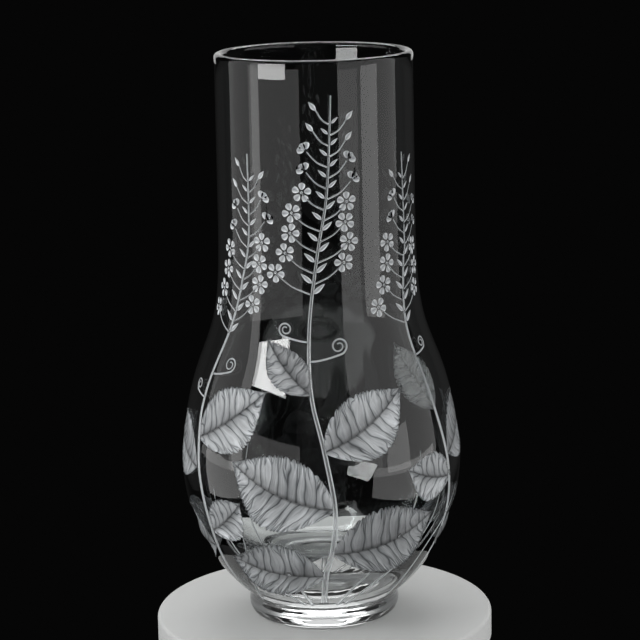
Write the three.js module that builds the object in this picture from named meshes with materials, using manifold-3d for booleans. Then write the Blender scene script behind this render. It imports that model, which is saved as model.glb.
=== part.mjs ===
// A footed flower vase in clear blown glass: a pear-shaped bowl that runs up through a soft
// S-curve into a wide, nearly straight neck with a fire-polished lip, standing on a low foot of
// hot-applied glass. Three leafy stems are wheel-cut into the front of the bowl as shallow hollows.
// Millimetres, +Z up, origin under the centre of the foot, front towards -Y.
import * as THREE from "three";
import { mergeVertices } from "three/addons/utils/BufferGeometryUtils.js";
import Module from "manifold-3d";

// Foot
const FOOT_HEIGHT = 12; // table to the joint with the bowl
const FOOT_RADIUS = 40.1; // at the fullest part of its rounded side
const FOOT_BULGE_HEIGHT = 6.2; // height of that fullest part
const FOOT_EDGE_ROUND = 1.4; // polished edge between the side and the underside
const JOINT_INSET = 0.7; // how far the joint with the bowl lies inside the fullest part
const CONTACT_INSET = 4.6; // how far the flat ring that stands on the table lies inside it
const CONTACT_WIDTH = 8; // width of that ring
const HOLLOW_DEPTH = 3; // ground and polished hollow inside the ring

// Outside of the bowl and neck
const BELLY_RISE = 75; // joint to the widest part
const BELLY_RADIUS = 74;
const BOWL_BASE_ANGLE = 38; // degrees above level, where the bowl leaves the foot
const SHOULDER_RISE = 51; // widest part to the turn of the S-curve
const SHOULDER_SHARE = 0.55; // where that turn lies from the neck's radius (0) to the belly's (1)
const SHOULDER_LEAN = 20.3; // degrees from upright at the turn
const NECK_RISE = 84; // turn of the S-curve to the straight neck
const NECK_RADIUS = 51.6;
const NECK_LENGTH = 78; // straight neck, up to the top of the lip
const LIP_RADIUS = 51.3;

// How far each curve keeps its first or last direction, as a share of its rise
const BOWL_SWELL = 0.395;
const BELLY_FULLNESS = 0.38;
const SHOULDER_ROUNDING = 0.22;
const TURN_BELOW = 0.333;
const TURN_ABOVE = 0.294;
const NECK_STRAIGHTENING = 0.71;

// Glass thickness
const NECK_WALL = 4.5;
const BELLY_WALL = 4.2;
const FLOOR_THICKNESS = 12; // joint to the bottom of the inside
const FLOOR_ROUNDNESS = 0.6; // 0.55 would make the bottom of the inside a true ellipse

// Depths of the wheel-cut hollows, and how they are shaped
const LEAF_EDGE_DEPTH = 0.3;
const LEAF_LOBE_DEPTH = 1.1;
const LEAF_MIDRIB_DEPTH = 0.5; // the midrib is left standing between the two lobes
const LEAF_VEIN_DEPTH = 0.35; // every second step of a lobe is cut this much deeper
const LEAF_VEIN_SLANT = 0.35; // how far the side veins run forward, as a share of their length
const LEAF_TIP_WIDTH = 1;
const STEM_WIDTH = 3; // at the foot
const STEM_TOP_WIDTH = 1.6;
const STEM_DEPTH = 1;
const CUTTER_HEIGHT = 2; // how far each cutter stands out of the glass

// The three stems with their leaves. angle is degrees round from the front, to the right, and rise
// is the length along the surface from the joint. lean is a leaf's direction in degrees, 0 to the
// right and 90 straight up, and bow is how far its midrib bows out to its left.
const PLANTS = [
  {
    stem: [[0, 8], [1, 33], [4, 50], [5, 74], [1, 106], [-4, 134], [-5, 168], [0, 204], [6, 236]],
    leaves: [
      { angle: 1, rise: 33, lean: 172, length: 54, width: 37, bow: 3 },
      { angle: 4, rise: 48, lean: 15, length: 62, width: 40, bow: -4 },
      { angle: 5, rise: 74, lean: 158, length: 60, width: 40, bow: 4 },
      { angle: 1, rise: 104, lean: 34, length: 52, width: 34, bow: -3 },
      { angle: -4, rise: 133, lean: 130, length: 36, width: 20, bow: 2 },
    ],
  },
  {
    stem: [[-60, 8], [-57, 34], [-56, 60], [-60, 96], [-62, 120], [-58, 150], [-48, 186], [-42, 212]],
    leaves: [
      { angle: -58, rise: 44, lean: 172, length: 50, width: 34, bow: 3 },
      { angle: -56, rise: 54, lean: 38, length: 34, width: 23, bow: -2 },
      { angle: -61, rise: 88, lean: 156, length: 50, width: 34, bow: 3 },
      { angle: -61, rise: 104, lean: 36, length: 51, width: 34, bow: -3 },
    ],
  },
  {
    stem: [[60, 8], [64, 34], [66, 60], [62, 92], [57, 124], [54, 160], [58, 196], [60, 206]],
    leaves: [
      { angle: 65, rise: 42, lean: 20, length: 50, width: 34, bow: -3 },
      { angle: 65, rise: 80, lean: 164, length: 38, width: 25, bow: 2 },
      { angle: 63, rise: 92, lean: 32, length: 50, width: 34, bow: -3 },
      { angle: 58, rise: 117, lean: 113, length: 42, width: 26, bow: 2 },
    ],
  },
];

// Steps round the glass and along its outline
const TURN_STEPS = 60;
const OUTER_STEPS = [9, 6, 6];
const INNER_STEPS = [6, 4, 7];
const LIP_STEPS = 6;
const HOLLOW_STEPS = 5;
const FOOT_SIDE_STEPS = [5, 4];
const LEAF_STEPS = 11;
const STEM_STEP = 8; // length of stem to each step

const JOINT_RADIUS = FOOT_RADIUS - JOINT_INSET;
const CONTACT_RADIUS = FOOT_RADIUS - CONTACT_INSET;
const BELLY_Z = FOOT_HEIGHT + BELLY_RISE;
const TURN_Z = BELLY_Z + SHOULDER_RISE;
const NECK_Z = TURN_Z + NECK_RISE;
const TOP_Z = NECK_Z + NECK_LENGTH;
const LIP_ROUND = NECK_WALL / 2;

const point = (radius, z) => new THREE.Vector2(radius, z);
const curve = (a, b, c, d) => new THREE.CubicBezierCurve(a, b, c, d);

const lean = THREE.MathUtils.degToRad(SHOULDER_LEAN);
const upTurn = point(-Math.sin(lean), Math.cos(lean)); // along the surface at the turn
const outOfTurn = point(Math.cos(lean), Math.sin(lean)); // square to it

// The S-curve from the widest part up to the neck, as two curves that meet at the turn. inset is
// the glass between it and the outside, at the belly, at the turn and at the neck.
function shoulderCurves(inset) {
  const belly = point(BELLY_RADIUS - inset.belly, BELLY_Z);
  const neck = point(NECK_RADIUS - inset.neck, NECK_Z);
  const turnRadius = THREE.MathUtils.lerp(NECK_RADIUS, BELLY_RADIUS, SHOULDER_SHARE);
  const turn = point(turnRadius, TURN_Z).addScaledVector(outOfTurn, -inset.turn);
  return [
    curve(
      belly,
      point(belly.x, BELLY_Z + SHOULDER_ROUNDING * SHOULDER_RISE),
      turn.clone().addScaledVector(upTurn, -TURN_BELOW * SHOULDER_RISE),
      turn,
    ),
    curve(
      turn,
      turn.clone().addScaledVector(upTurn, TURN_ABOVE * NECK_RISE),
      point(neck.x, NECK_Z - NECK_STRAIGHTENING * NECK_RISE),
      neck,
    ),
  ];
}

// Outside, from the joint up to the straight neck.
function outerCurves() {
  const angle = THREE.MathUtils.degToRad(BOWL_BASE_ANGLE);
  const joint = point(JOINT_RADIUS, FOOT_HEIGHT);
  const swell = point(Math.cos(angle), Math.sin(angle)).multiplyScalar(BOWL_SWELL * BELLY_RISE);
  const bowl = curve(
    joint,
    joint.clone().add(swell),
    point(BELLY_RADIUS, BELLY_Z - BELLY_FULLNESS * BELLY_RISE),
    point(BELLY_RADIUS, BELLY_Z),
  );
  return [bowl, ...shoulderCurves({ belly: 0, turn: 0, neck: 0 })];
}

// Inside, from the middle of the thick floor up to the straight neck.
function innerCurves() {
  const bellyInside = BELLY_RADIUS - BELLY_WALL;
  const floorZ = FOOT_HEIGHT + FLOOR_THICKNESS;
  const bottom = curve(
    point(0, floorZ),
    point(FLOOR_ROUNDNESS * bellyInside, floorZ),
    point(bellyInside, BELLY_Z - FLOOR_ROUNDNESS * (BELLY_Z - floorZ)),
    point(bellyInside, BELLY_Z),
  );
  const turnWall = (NECK_WALL + BELLY_WALL) / 2;
  return [bottom, ...shoulderCurves({ belly: BELLY_WALL, turn: turnWall, neck: NECK_WALL })];
}

// Evenly spaced points along curves that run into each other, with each shared point once.
function outlinePoints(curves, steps) {
  return curves.flatMap((part, i) => part.getSpacedPoints(steps[i]).slice(i ? 1 : 0));
}

// The fire-polished lip: a half round from the outside of the wall to the inside.
function lipPoints() {
  const centre = point(LIP_RADIUS - LIP_ROUND, TOP_Z - LIP_ROUND);
  const halfRound = new THREE.EllipseCurve(centre.x, centre.y, LIP_ROUND, LIP_ROUND, 0, Math.PI);
  return halfRound.getPoints(LIP_STEPS);
}

// An outline that starts and ends on the axis, turned round it. The lathe turns round Y, so the
// result is stood upright.
function turned(outline) {
  return new THREE.LatheGeometry(outline, TURN_STEPS).rotateX(Math.PI / 2);
}

// The bowl, neck and lip as blown, before anything is cut into them.
function blownGeometry() {
  const outer = outlinePoints(outerCurves(), OUTER_STEPS);
  const inner = outlinePoints(innerCurves(), INNER_STEPS).reverse();
  return turned([point(0, FOOT_HEIGHT), ...outer, ...lipPoints(), ...inner]);
}

// The foot: flat on top where the bowl is fused on, a rounded side, a flat ring to stand on, and
// the shallow hollow that is left where the rod was ground off.
function footGeometry() {
  const ringInner = CONTACT_RADIUS - CONTACT_WIDTH;
  const hollow = new THREE.EllipseCurve(0, 0, ringInner, HOLLOW_DEPTH, Math.PI / 2, 0, true);
  const bulge = point(FOOT_RADIUS, FOOT_BULGE_HEIGHT);
  const edge = curve(
    point(CONTACT_RADIUS, 0),
    point(CONTACT_RADIUS + FOOT_EDGE_ROUND, 0),
    point(FOOT_RADIUS, FOOT_BULGE_HEIGHT / 3),
    bulge,
  );
  const shoulderHeight = FOOT_HEIGHT - FOOT_BULGE_HEIGHT;
  const side = curve(
    bulge,
    point(FOOT_RADIUS, FOOT_BULGE_HEIGHT + shoulderHeight / 2),
    point(FOOT_RADIUS - JOINT_INSET / 2, FOOT_HEIGHT - shoulderHeight / 6),
    point(JOINT_RADIUS, FOOT_HEIGHT),
  );
  return turned([
    ...hollow.getPoints(HOLLOW_STEPS),
    ...outlinePoints([edge, side], FOOT_SIDE_STEPS),
    point(0, FOOT_HEIGHT),
  ]);
}

// The outside as one path from the joint to the lip, on which the cuts are placed by length.
const outside = new THREE.CurvePath();
for (const part of outerCurves()) outside.add(part);
outside.add(new THREE.LineCurve(point(NECK_RADIUS, NECK_Z), point(LIP_RADIUS, TOP_Z - LIP_ROUND)));
outside.arcLengthDivisions = 200;
const outsideLength = outside.getLength();
const outsideShare = (rise) => THREE.MathUtils.clamp(rise / outsideLength, 0, 1);

// The place at angle (radians from the front) and rise along the surface, lifted off it by height.
function onSurface(angle, rise, height) {
  const share = outsideShare(rise);
  const here = outside.getPointAt(share);
  const along = outside.getTangentAt(share);
  const radius = here.x + height * along.y;
  return new THREE.Vector3(
    radius * Math.sin(angle),
    -radius * Math.cos(angle),
    here.y - height * along.x,
  );
}

// A solid from rings of points, each ring joined to the next and the first and last one closed.
function lofted(rings) {
  const size = rings[0].length;
  const last = rings.length - 1;
  const corner = (ring, i) => ring * size + (i % size);
  const faces = [];
  for (let ring = 0; ring < last; ring++) {
    for (let i = 0; i < size; i++) {
      faces.push(corner(ring, i), corner(ring, i + 1), corner(ring + 1, i + 1));
      faces.push(corner(ring, i), corner(ring + 1, i + 1), corner(ring + 1, i));
    }
  }
  for (let i = 1; i + 1 < size; i++) {
    faces.push(corner(0, 0), corner(0, i + 1), corner(0, i));
    faces.push(corner(last, 0), corner(last, i), corner(last, i + 1));
  }
  const geometry = new THREE.BufferGeometry().setFromPoints(rings.flat());
  geometry.setIndex(faces);
  return geometry;
}

// How wide a leaf is at t, from its stalk (0) to its drawn-out tip (1), as a share of its width.
function leafShare(t) {
  const swell = 0.7;
  const taper = 1.2;
  const widest = swell / (swell + taper);
  const outline = (at) => at ** swell * (1 - at) ** taper;
  return outline(t) / outline(widest);
}

// The cutter of one leaf. Across the leaf its floor runs from one edge through a lobe, over the
// midrib and through the other lobe, and its back lies clear of the glass.
function leafCutter(leaf) {
  const start = THREE.MathUtils.degToRad(leaf.angle);
  const direction = THREE.MathUtils.degToRad(leaf.lean);
  const rings = [];
  for (let step = 0; step <= LEAF_STEPS; step++) {
    const t = step / LEAF_STEPS;
    const half = Math.max(leafShare(t) * leaf.width, LEAF_TIP_WIDTH) / 2;
    const lobe = LEAF_LOBE_DEPTH + (step % 2 ? LEAF_VEIN_DEPTH : 0);
    const section = [
      [-1, -LEAF_EDGE_DEPTH],
      [-0.5, -lobe],
      [0, -LEAF_MIDRIB_DEPTH],
      [0.5, -lobe],
      [1, -LEAF_EDGE_DEPTH],
      [1, CUTTER_HEIGHT],
      [0, CUTTER_HEIGHT],
      [-1, CUTTER_HEIGHT],
    ];
    const ring = section.map(([side, height]) => {
      const along = t * leaf.length + LEAF_VEIN_SLANT * Math.abs(side) * half;
      const across = side * half + leaf.bow * 4 * t * (1 - t);
      const rise = leaf.rise + along * Math.sin(direction) + across * Math.cos(direction);
      const round = along * Math.cos(direction) - across * Math.sin(direction);
      return onSurface(start + round / outside.getPointAt(outsideShare(rise)).x, rise, height);
    });
    rings.push(ring);
  }
  return lofted(rings);
}

// The cutter of one stem: a V-shaped groove on a smooth route, narrower towards the top.
function stemCutter(stem) {
  const places = stem.map(([angle, rise]) => {
    return new THREE.Vector3(THREE.MathUtils.degToRad(angle), rise, 0);
  });
  const route = new THREE.CatmullRomCurve3(places);
  const steps = Math.ceil((stem.at(-1)[1] - stem[0][1]) / STEM_STEP);
  const rings = route.getPoints(steps).map(({ x: angle, y: rise }, step) => {
    const width = THREE.MathUtils.lerp(STEM_WIDTH, STEM_TOP_WIDTH, step / steps);
    const backWidth = width * (1 + CUTTER_HEIGHT / STEM_DEPTH);
    const backAngle = backWidth / 2 / outside.getPointAt(outsideShare(rise)).x;
    return [
      onSurface(angle, rise, -STEM_DEPTH),
      onSurface(angle - backAngle, rise, CUTTER_HEIGHT),
      onSurface(angle + backAngle, rise, CUTTER_HEIGHT),
    ];
  });
  return lofted(rings);
}

const wasm = await Module();
wasm.setup();

function toSolid(geometry) {
  const bare = geometry.clone();
  bare.deleteAttribute("normal");
  bare.deleteAttribute("uv");
  const merged = mergeVertices(bare);
  return new wasm.Manifold(
    new wasm.Mesh({
      numProp: 3,
      vertProperties: new Float32Array(merged.attributes.position.array),
      triVerts: new Uint32Array(merged.index.array),
    }),
  );
}

function toGeometry(solid) {
  const mesh = solid.getMesh();
  const geometry = new THREE.BufferGeometry();
  geometry.setAttribute("position", new THREE.BufferAttribute(mesh.vertProperties, mesh.numProp));
  geometry.setIndex(new THREE.BufferAttribute(mesh.triVerts, 1));
  geometry.computeVertexNormals();
  return geometry;
}

// The blown body with every stem and leaf cut into it.
function bodyGeometry() {
  let body = toSolid(blownGeometry());
  for (const plant of PLANTS) {
    body = body.subtract(toSolid(stemCutter(plant.stem)));
    for (const leaf of plant.leaves) body = body.subtract(toSolid(leafCutter(leaf)));
  }
  return toGeometry(body);
}

const clearGlass = new THREE.MeshStandardMaterial({
  color: 0xe9eef0,
  roughness: 0.03,
  metalness: 0,
  transparent: true,
  opacity: 0.35,
});

function namedMesh(name, geometry) {
  const mesh = new THREE.Mesh(geometry, clearGlass.clone());
  mesh.name = name;
  return mesh;
}

const vase = new THREE.Group();
vase.add(namedMesh("blown_body", bodyGeometry()));
vase.add(namedMesh("applied_foot", footGeometry()));

export default vase;
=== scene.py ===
"""Footed flower vase in clear blown glass, wheel-cut with leafy stems and flowers.

The glass is one fused body, blown, footed and fire-polished. Every leaf, stem, petal and bud is cut
into its outside as a real hollow, so light bends at the cut edges and catches on the matt floors.
"""

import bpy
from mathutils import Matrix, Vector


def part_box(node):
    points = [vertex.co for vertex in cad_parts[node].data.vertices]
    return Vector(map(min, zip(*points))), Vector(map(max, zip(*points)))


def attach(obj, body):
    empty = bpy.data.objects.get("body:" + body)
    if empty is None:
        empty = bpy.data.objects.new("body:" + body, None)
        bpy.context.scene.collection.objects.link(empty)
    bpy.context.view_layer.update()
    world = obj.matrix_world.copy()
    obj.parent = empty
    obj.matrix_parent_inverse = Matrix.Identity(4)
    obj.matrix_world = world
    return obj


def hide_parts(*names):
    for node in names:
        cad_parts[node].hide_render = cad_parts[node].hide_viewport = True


bl_info = {
    "name": "Wheel-cut glass vase",
    "version": (1, 0, 0),
    "blender": (4, 5, 0),
    "location": "3D View > Sidebar > Vase",
    "description": "Blows a footed glass vase, cuts its decoration and sets up a studio",
    "category": "Add Mesh",
}

from bisect import bisect_right
from functools import partial
from math import atan2, cos, degrees, exp, pi, radians, sin, sqrt

import bmesh
import bpy
from bpy.props import FloatProperty, FloatVectorProperty, PointerProperty
from mathutils import Matrix, Vector
from mathutils.geometry import interpolate_bezier

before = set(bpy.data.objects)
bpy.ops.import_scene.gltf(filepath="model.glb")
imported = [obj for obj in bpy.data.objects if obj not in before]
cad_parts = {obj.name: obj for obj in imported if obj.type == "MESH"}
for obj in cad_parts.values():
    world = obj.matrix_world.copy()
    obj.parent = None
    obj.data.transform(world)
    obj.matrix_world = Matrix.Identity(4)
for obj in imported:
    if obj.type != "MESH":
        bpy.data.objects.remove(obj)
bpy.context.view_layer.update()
_, FOOT_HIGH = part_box("applied_foot")
BODY_LOW, BODY_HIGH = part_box("blown_body")
MM = 0.001
FULL_TURN = 2 * pi
GLASS_IOR = 1.52

# Steps round the glass, and the angle between two faces past which their edge is cut, not rounded
TURN_STEPS = 150
CUT_EDGE_ANGLE = radians(34)
# Points closer than this are one point
MERGE_DISTANCE = 0.01 * MM

# Finishes of the glass, in the order of its material slots
FIRE_POLISHED, WHEEL_CUT, HALF_POLISHED, GROUND, PETAL_CUT = range(5)

# How far each curve of the outline keeps its first or last direction, as a share of its rise
BOWL_SWELL = 0.395
BELLY_FULLNESS = 0.38
SHOULDER_ROUNDING = 0.22
TURN_BELOW = 0.333
TURN_ABOVE = 0.294
NECK_STRAIGHTENING = 0.71
FLOOR_ROUNDNESS = 0.6

# Points on the curves of the bowl and of the shoulder's two halves: on the fine outline that places
# are measured along, on the outside and on the inside
GUIDE_COUNTS = (60, 40, 60)
OUTSIDE_COUNTS = (36, 20, 30)
INSIDE_COUNTS = (34, 16, 24)
# Rows of the straight neck outside and inside, and points on the lip's half round
NECK_ROWS = (9, 6)
LIP_COUNT = 13
# Points on the foot's hollow, the edge of its underside and its side, and on a fillet
HOLLOW_COUNT, EDGE_COUNT, SIDE_COUNT = 22, 10, 12
FILLET_COUNT = 5

# Steps of each cutter across the cut and along it. A leaf's steps along are for each side vein.
LEAF_GRID = (20, 10)
STEM_GRID = (8, 150)
BLADE_GRID = (6, 44)
TENDRIL_GRID = (4, 70)
STALK_GRID = (4, 12)
BRACT_GRID = (4, 6)
PETAL_GRID = (6, 6)
EYE_GRID = (4, 4)
BUD_GRID = (4, 7)

# How far out on a leaf its side veins fork, and how far to each side a branch ends, in side veins
FORK_START = 0.45
FORK_SPREAD = 0.25
# Two waves that bend the side veins: size in side veins, and how fast they run out and to the tip
VEIN_WAVES = ((0.2, 2.1, 2.7), (0.09, 5.3, -1.9))
# Each leaf counts its side veins from its own multiple of this, so that no two look alike
VEINS_PER_LEAF = 32
FEWEST_VEINS = 5
# Where the crest over a midrib fades, on the way from the midrib to the edge
MIDRIB_SHARE = 0.09

# The stems with their leaves. Angles are degrees round from the front, to the right, and rises are
# millimetres along the surface from the joint with the foot. A leaf has its angle, rise, lean,
# length, width and bow: lean is a direction in degrees, 0 to the right and 90 straight up, and bow
# is how far its midrib bows out to its left.
PLANTS = (
    {
        "stem": ((0, 8), (1, 33), (4, 50), (5, 74), (1, 106), (-4, 134), (-5, 168), (0, 204), (6, 236)),
        "leaves": (
            (1, 33, 172, 54, 37, 3),
            (4, 48, 15, 62, 40, -4),
            (5, 74, 158, 60, 40, 4),
            (1, 104, 34, 52, 34, -3),
            (-4, 133, 130, 36, 20, 2),
        ),
        "spray": {"from": 170, "tip": (9, 284), "count": 17, "reach": 19},
    },
    {
        "stem": ((-60, 8), (-57, 34), (-56, 60), (-60, 96), (-62, 120), (-58, 150), (-48, 186), (-42, 212)),
        "leaves": (
            (-58, 44, 172, 50, 34, 3),
            (-56, 54, 38, 34, 23, -2),
            (-61, 88, 156, 50, 34, 3),
            (-61, 104, 36, 51, 34, -3),
        ),
        "spray": {"from": 148, "tip": (-42, 254), "count": 15, "reach": 16.5},
    },
    {
        "stem": ((60, 8), (64, 34), (66, 60), (62, 92), (57, 124), (54, 160), (58, 196), (60, 206)),
        "leaves": (
            (65, 42, 20, 50, 34, -3),
            (65, 80, 164, 38, 25, 2),
            (63, 92, 32, 50, 34, -3),
            (58, 117, 113, 42, 26, 2),
        ),
        "spray": {"from": 152, "tip": (58, 252), "count": 14, "reach": 18},
    },
)

# Sprays: where along them the stalks start and over what share, how much shorter the last stalk is,
# how long two stalks of three are beside the third, and millimetres that the first and last rise
STALKS_FROM, STALKS_OVER = 0.12, 0.8
STALK_TAPER = 0.62
SHORT_STALK = 0.86
STALK_RISES = (11, 7)
# Where a stalk bends, as a share of its length, how wide it ends and how deep it is cut, as shares of
# its width at the stem. Tendrils end and are cut as stalks are.
STALK_BEND = 0.55
STALK_END, STALK_DEPTH = 0.7, 0.5
# How far heads and bracts lean from upright, in radians
HEAD_LEAN, BRACT_LEAN = 0.7, 0.85
# Bracts: how much shorter the last one is, their width in lengths, their depth in depths of a petal,
# and how far they start from the middle of the stem
BRACT_TAPER, BRACT_WIDTH, BRACT_DEPTH = 0.45, 0.32, 0.8
BRACT_OFFSET = 1.1 * MM
# Share of a spray below which flowers are open, and below which they are half open, not buds
OPEN_BELOW, HALF_OPEN_BELOW = 0.5, 0.75
OPEN_PETALS, HALF_OPEN_PETALS = 5, 3
# Where petals start, how wide they are and how wide the eye is, as shares of a flower's radius, and
# how far the tip of a petal is drawn in, as a share of its length
PETAL_START, PETAL_WIDTH, EYE_WIDTH = 0.26, 0.68, 0.3
PETAL_NOTCH = 0.2

# Long narrow blades that rise from the foot behind the leaves, as places on each one's middle line
BLADES = (
    ((9, 5), (17, 24), (32, 48), (41, 74), (44, 99)),
    ((14, 5), (26, 22), (43, 42), (53, 60), (57, 76)),
    ((-8, 5), (-14, 26), (-27, 54), (-32, 82), (-31, 108)),
    ((-13, 5), (-25, 22), (-40, 42), (-47, 62), (-49, 80)),
    ((-48, 5), (-40, 26), (-36, 50), (-38, 70)),
    ((49, 5), (50, 24), (56, 44), (68, 60), (74, 72)),
)

# Tendrils: the number of their plant, the rise where they start, 1 to the right or -1 to the left,
# and millimetres that they reach before they curl, with the curl's radius
TENDRILS = (
    (0, 150, 1, 15, 4.6),
    (0, 160, -1, 12, 3.8),
    (1, 138, 1, 13, 4.2),
    (1, 125, -1, 9, 3.4),
    (2, 147, 1, 9, 3.4),
)
CURL_TURNS = 1.6
CURL_TIGHTENING = 0.72

# Soft lamps in front of the vase and beside it: name, first and last angle from the front in
# degrees, distance from the axis, lower and upper edge in metres, and share of the panels' light.
# They show as reflections and light the cuts, but don't show through the glass and fill it.
FRONT_LAMPS = (
    ("panel_front_left", -17, -80, 2.2, -0.2, 0.29, 0.9),
    ("stripe_left", -65, -75, 0.75, 0.0, 0.95, 1.3),
    ("panel_side_left", -64, -111, 0.75, 0.0, 0.95, 0.84),
    ("low_left", -64, -104, 0.75, -0.2, 0.04, 1.8),
    ("panel_right", 26, 104, 0.75, 0.0, 0.95, 1.0),
    ("low_right", 40, 100, 0.75, -0.2, 0.04, 1.5),
    ("panel_front_right", 26, 49, 1.1, 0.0, 0.28, 0.5),
    ("stripe_right", 54, 76, 2.2, -0.2, 0.29, 1.5),
    ("front", -20, 28, 1.5, 0.0, 1.0, 0.06),
)

# Soft lamps behind, which light the lip, the foot and the outline of the vase through the glass
BACK_LAMPS = (
    ("edge_left", -112, -165, 0.75, -0.25, 0.75, 0.01),
    ("edge_right", 105, 165, 0.75, -0.25, 0.75, 0.014),
    ("back", 150, 210, 0.8, 0.23, 0.65, 0.75),
    ("back_high", 150, 210, 0.8, 0.7, 1.1, 4.4),
)

# The small bright key lamp, given as the others are, and the square lamp above
KEY_LAMP = ("key", -31, -62.6, 0.42, 0.26, 0.47)
TOP_LAMP_SIDE = 0.9
TOP_LAMP_PLACE = Vector((0.0, 0.3, 1.15))
TOP_LAMP_TARGET = Vector((0, 0, 0.15))

# The floor lies a little under the foot and has a rounded rim
FLOOR_GAP = 0.15 * MM
FLOOR_RIM = 2 * MM
FLOOR_STEPS = 180
FLOOR_EDGE_ANGLE = radians(50)

# Noise stays mostly between these values, so what is made from it starts from them
NOISE_SPAN = {"From Min": 0.3, "From Max": 0.7}
# Greys from the upper edge of a leaf to the lower one, which are painted light: painted shade beside the
# midrib, deeper on the upper half, a dark painted line on the midrib, and painted highlights on both pale
# edges.
LEAF_SHADE_AND_HIGHLIGHT_GREYS = (
    (0.0, 1.35),
    (0.1, 1.06),
    (0.3, 0.82),
    (0.45, 0.54),
    (0.49, 0.22),
    (0.515, 0.3),
    (0.54, 0.8),
    (0.7, 1.02),
    (0.9, 1.12),
    (1.0, 1.45),
)


def linear(hex_colour, alpha=1.0):
    """The linear colour of an sRGB hex value such as #C8CCCE."""
    shares = [int(hex_colour[i : i + 2], 16) / 255 for i in (1, 3, 5)]
    lit = [s / 12.92 if s <= 0.04045 else ((s + 0.055) / 1.055) ** 2.4 for s in shares]
    return (*lit, alpha)


def setting(name, description, default, **kind):
    return FloatProperty(name=name, description=description, default=default, **kind)


def length_of(name, description, default):
    """A length in metres."""
    return setting(name, description, default, unit="LENGTH")


def angle_of(name, description, default):
    """An angle whose default is in degrees."""
    return setting(name, description, radians(default), subtype="ANGLE")


def colour_of(name, description, hex_colour):
    colour = {"default": linear(hex_colour), "size": 4, "min": 0, "max": 1, "subtype": "COLOR"}
    return FloatVectorProperty(name=name, description=description, **colour)


class GlassShape(bpy.types.PropertyGroup):
    """Sizes of the blown body and its foot"""

    height: length_of("Height", "Table to the top of the lip", BODY_HIGH.z)
    foot_height: length_of("Foot height", "Table to the joint with the bowl", BODY_LOW.z)
    foot_radius: length_of("Foot radius", "At the fullest part of its side", FOOT_HIGH.x)
    foot_bulge: length_of("Foot bulge", "Height of the fullest part", 6.2 * MM)
    foot_edge: length_of("Foot edge", "Rounding between side and underside", 1.4 * MM)
    joint_inset: length_of("Joint inset", "Joint inside the fullest part", 0.7 * MM)
    contact_inset: length_of("Ring inset", "Standing ring inside the foot", 4.6 * MM)
    contact_width: length_of("Ring width", "Flat ring that stands on the table", 8 * MM)
    contact_edge: length_of("Ring edge", "Reach of the fillet to the hollow", 0.5 * MM)
    hollow_depth: length_of("Hollow depth", "Ground hollow inside the ring", 3 * MM)
    polished_radius: length_of("Polished radius", "Bright middle of the hollow", 22 * MM)
    tool_rings: length_of("Tool rings", "Height of the rings of hot work", 0.12 * MM)
    ring_spacing: length_of("Ring spacing", "From one tool ring to the next", 4.6 * MM)
    crease: length_of("Crease", "Reach of the fillet between foot and bowl", 1.3 * MM)
    belly_radius: length_of("Belly radius", "Widest part of the bowl", 74 * MM)
    belly_rise: length_of("Belly rise", "Joint to the widest part", 75 * MM)
    bowl_angle: angle_of("Bowl angle", "Above level, where the bowl leaves the foot", 38)
    shoulder_rise: length_of("Shoulder rise", "Widest part to the turn of the S", 51 * MM)
    shoulder_share: setting("Shoulder share", "Turn of the S, from neck to belly", 0.55, subtype="FACTOR")
    shoulder_lean: angle_of("Shoulder lean", "From upright, at the turn", 20.3)
    neck_rise: length_of("Neck rise", "Turn of the S to the straight neck", 84 * MM)
    neck_radius: length_of("Neck radius", "Outside of the straight neck", 51.6 * MM)
    lip_radius: length_of("Lip radius", "Outside of the lip", 51.3 * MM)
    neck_wall: length_of("Neck wall", "Glass in the neck and lip", 4.5 * MM)
    belly_wall: length_of("Belly wall", "Glass at the widest part", 4.2 * MM)
    floor: length_of("Floor", "Glass between the joint and the inside", 12 * MM)


class CutShape(bpy.types.PropertyGroup):
    """Sizes of the wheel-cut decoration"""

    edge_depth: length_of("Edge depth", "Cut at the edge of a leaf", 0.3 * MM)
    lobe_depth: length_of("Lobe depth", "Further depth halfway to the edge", 0.8 * MM)
    midrib_depth: length_of("Midrib depth", "Cut over the midrib", 0.5 * MM)
    midrib_crest: length_of("Midrib crest", "Height of the midrib in its cut", 0.25 * MM)
    vein_depth: length_of("Vein depth", "Hollow between one side vein and the next", 0.4 * MM)
    vein_spacing: length_of("Vein spacing", "Between side veins", 5.2 * MM)
    vein_slant: setting("Vein slant", "Forward run of a side vein, in its length", 0.35, subtype="FACTOR")
    tooth: setting("Tooth", "Reach of a tooth, in the leaf's half width", 0.14, subtype="FACTOR")
    leaf_tip: length_of("Leaf tip", "Least width of a leaf", 0.8 * MM)
    stem_width: length_of("Stem width", "At the foot", 3.4 * MM)
    stem_depth: length_of("Stem depth", "Middle of the groove", 0.85 * MM)
    blade_width: length_of("Blade width", "Narrow blades, at the foot", 2.3 * MM)
    blade_tip: length_of("Blade tip", "Narrow blades, at the tip", 0.35 * MM)
    blade_depth: length_of("Blade depth", "Middle of a narrow blade", 0.5 * MM)
    stalk_width: length_of("Stalk width", "Thin stalks of flowers and buds", 0.85 * MM)
    stalk_sag: length_of("Stalk sag", "Middle of a stalk below a straight line", 1.6 * MM)
    bract_length: length_of("Bract length", "Small leaf opposite each flower stalk", 7.5 * MM)
    flower_radius: length_of("Flower radius", "Middle to the tip of a petal", 5.1 * MM)
    half_open: angle_of("Half open", "Spread of the petals of a young flower", 76)
    bud_length: length_of("Bud length", "Stalk to tip", 5.5 * MM)
    bud_width: length_of("Bud width", "At its fullest", 2.4 * MM)
    petal_depth: length_of("Petal depth", "Deepest part of a petal", 0.62 * MM)
    clearance: length_of("Clearance", "Cutter standing out of the glass", 1.5 * MM)


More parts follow.
